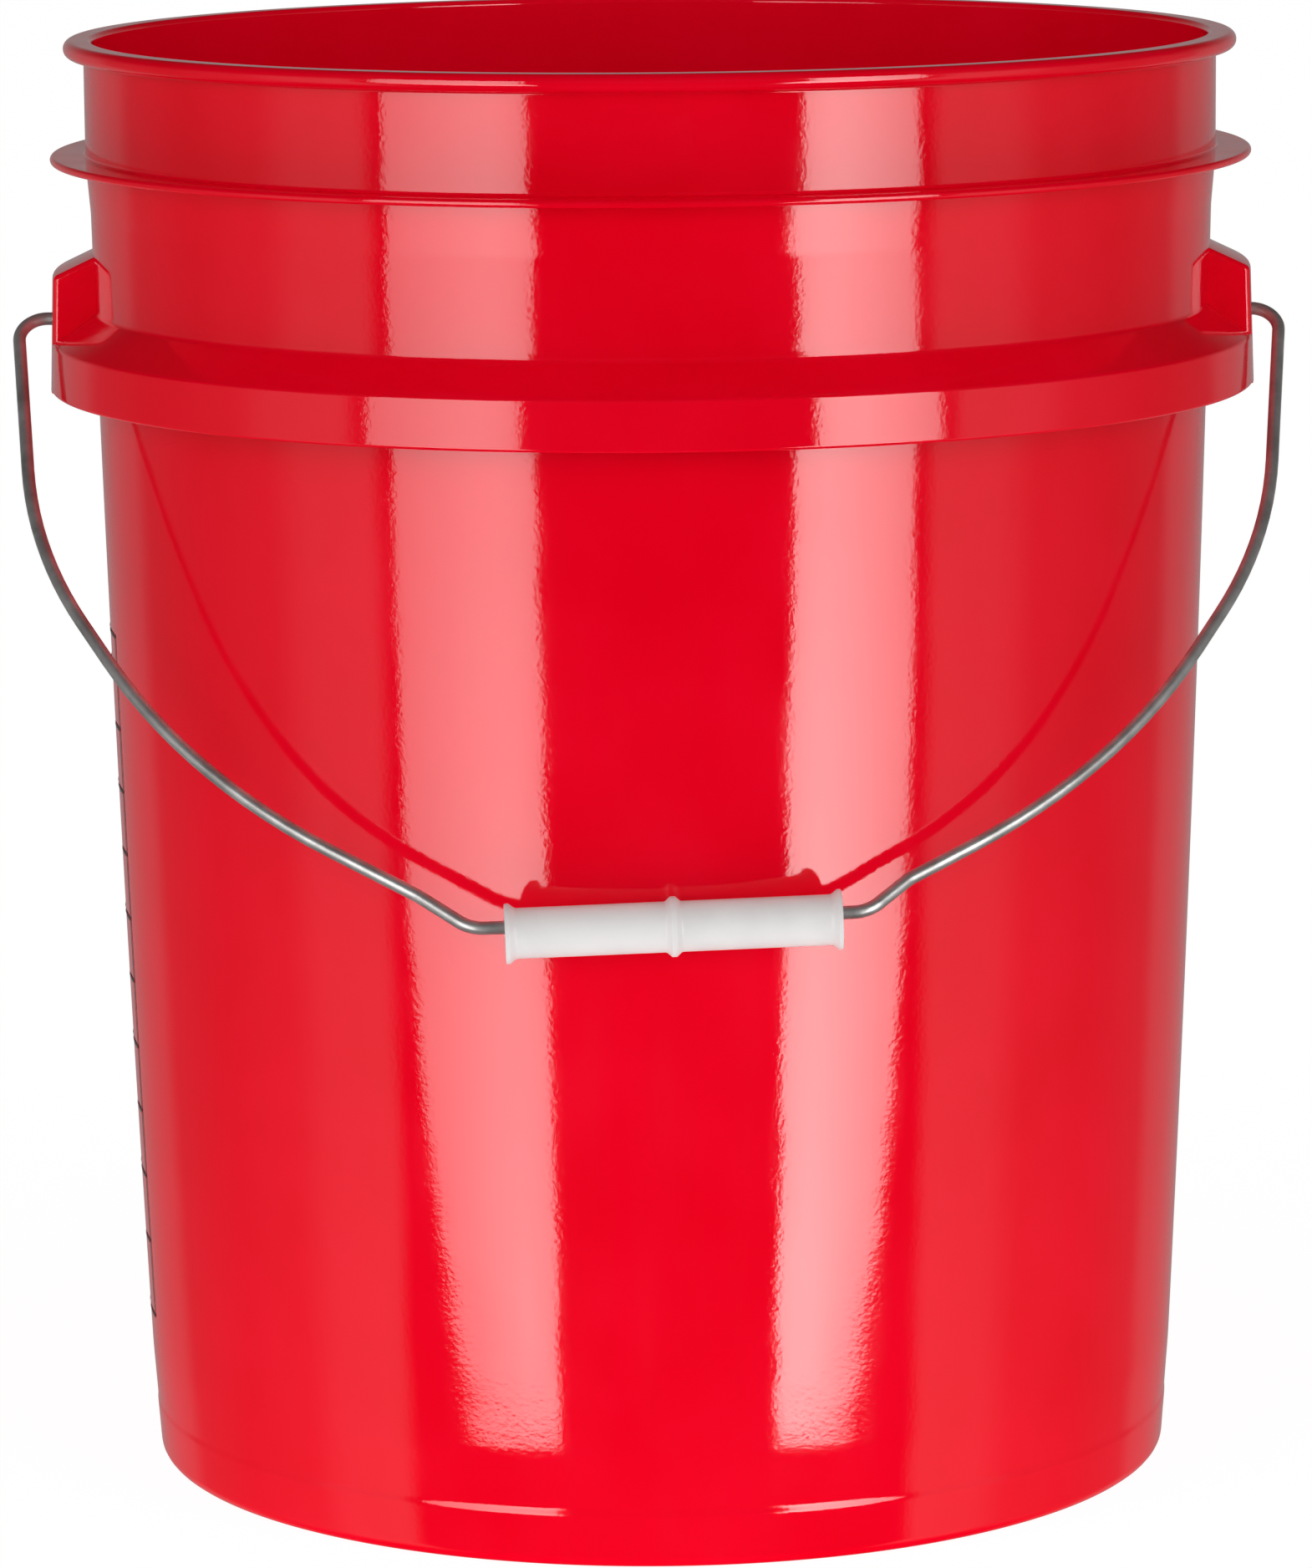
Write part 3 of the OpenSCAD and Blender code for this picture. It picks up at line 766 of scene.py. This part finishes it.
below = add_node(tree, "ShaderNodeMapRange", {"Value": direction.outputs["Z"]},
                 interpolation_type="SMOOTHSTEP", From_Min=-0.85, From_Max=-0.5, To_Min=0.0, To_Max=1.0)
band_light = add_node(tree, "ShaderNodeMath", {0: above.outputs["Result"], 1: below.outputs["Result"]},
                      operation="MULTIPLY")
gloss_light = add_node(tree, "ShaderNodeMath", {0: walls.outputs["Color"], 1: band_light.outputs["Value"]},
                       operation="MULTIPLY")
level = add_node(tree, "ShaderNodeMix", {
    "Factor": ray.outputs["Is Glossy Ray"],
    "A": soft_light.outputs["Value"],
    "B": gloss_light.outputs["Value"],
}, data_type="FLOAT")
shown = add_node(tree, "ShaderNodeMix", {
    "Factor": ray.outputs["Is Camera Ray"],
    "A": level.outputs["Result"],
}, data_type="FLOAT", B=1.0)
background = add_node(tree, "ShaderNodeBackground", {"Strength": shown.outputs["Result"]}, Color=(1, 1, 1, 1))
add_node(tree, "ShaderNodeOutputWorld", {"Surface": background.outputs["Background"]})

# The softboxes: bent round the pail at 2 m, with a rounded lower corner on the outside, and brighter low down
# and near the inner edge. Their edges are in degrees of bearing and height as seen from the pail.
box_away = 2
box_middle_z = 0.2
box_low, box_top = -23.4, 25
box_outer = 52.8
corner_wide, corner_high = 18, 14
lean_height = 24
glow_height = 18
glow_across = (0.8, 0.95, 1.0, 0.97, 0.9, 0.82, 0.74, 0.66, 0.58)
rows, columns = 40, len(glow_across)
# Name, side, bearing of the inner edge, its lean, and the glow low down and at the top.
boxes = (
    ("left", -1, 21.5, 0.09, 7.0, 4.9),
    ("right", 1, 24.3, 0.22, 10.5, 7.0),
)
for name, side, box_inner, lean, low_glow, top_glow in boxes:
    verts, faces, glows = [], [], []
    for i in range(rows + 1):
        lift = (box_top - box_low) * (i / rows) ** 2
        e = math.radians(box_low + lift)
        curve = max(0, 1 - lift / corner_high)
        inner = box_inner + lean * min(lift, lean_height)
        outer = box_outer - corner_wide * (1 - math.sqrt(1 - curve ** 2))
        for k, share in enumerate(glow_across):
            a = math.radians(inner + (outer - inner) * k / (columns - 1)) * side
            verts.append((box_away * math.sin(a) * math.cos(e), -box_away * math.cos(a) * math.cos(e),
                          box_middle_z + box_away * math.sin(e)))
            glows.append(share * (low_glow + (top_glow - low_glow) * min(1, lift / glow_height)))
    for i in range(rows):
        for k in range(columns - 1):
            low = i * columns + k
            faces.append([low, low + 1, low + columns + 1, low + columns])
    box_mesh = bpy.data.meshes.new("softbox_" + name)
    box_mesh.from_pydata(verts, [], faces)
    box_mesh.attributes.new("glow", "FLOAT", "POINT").data.foreach_set("value", glows)
    softbox = bpy.data.objects.new("softbox_" + name, box_mesh)
    bpy.context.scene.collection.objects.link(softbox)

    # Diffusing nylon: a soft white glow, with no gloss of its own.
    cloth = new_material("softbox_cloth_" + name)
    tree = cloth.node_tree
    spread = add_node(tree, "ShaderNodeAttribute", attribute_name="glow")
    light = add_node(tree, "ShaderNodeEmission", {"Strength": spread.outputs["Fac"]})
    add_node(tree, "ShaderNodeOutputMaterial", {"Surface": light.outputs["Emission"]})
    cloth.cycles.emission_sampling = "NONE"
    softbox.data.materials.append(cloth)
    softbox.visible_camera = False
    softbox.visible_diffuse = False
    softbox.visible_shadow = False
    softbox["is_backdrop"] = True

# ---- Finish ----

bpy.context.view_layer.update()
low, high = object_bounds()
